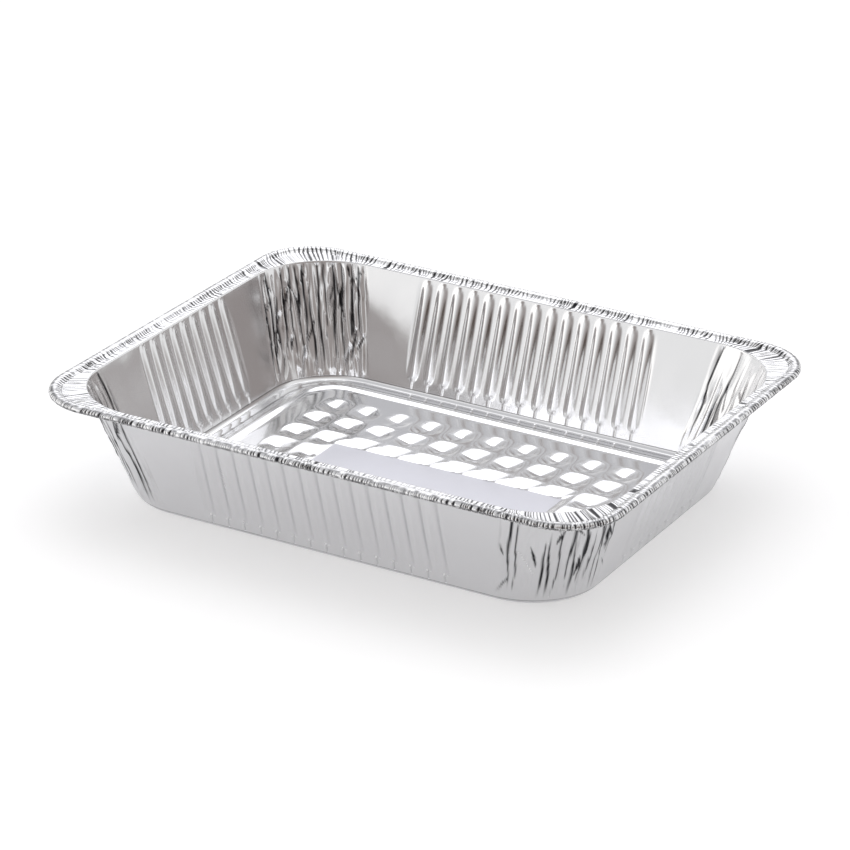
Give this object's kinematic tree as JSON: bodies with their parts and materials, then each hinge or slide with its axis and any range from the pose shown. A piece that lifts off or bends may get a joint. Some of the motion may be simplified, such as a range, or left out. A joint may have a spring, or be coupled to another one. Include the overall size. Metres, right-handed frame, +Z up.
{
  "type": "foil food container",
  "caption": "Deep rectangular foil food pan, open at the top, with a rolled rim, ribbed sloping walls, gathered corners and a quilted base, for cooking, holding and serving food.",
  "frame": {"origin": "centre of the pan, on the plane of the underside of its base", "axes": "+X along the long side, +Y along the short side, +Z up out of the open top"},
  "size_m": [0.324, 0.2636, 0.063],
  "materials": {
    "foil": "bright rolled foil, satin sheen"
  },
  "bodies": {
    "root": {"foil_pan": "foil"}
  },
  "joints": []
}
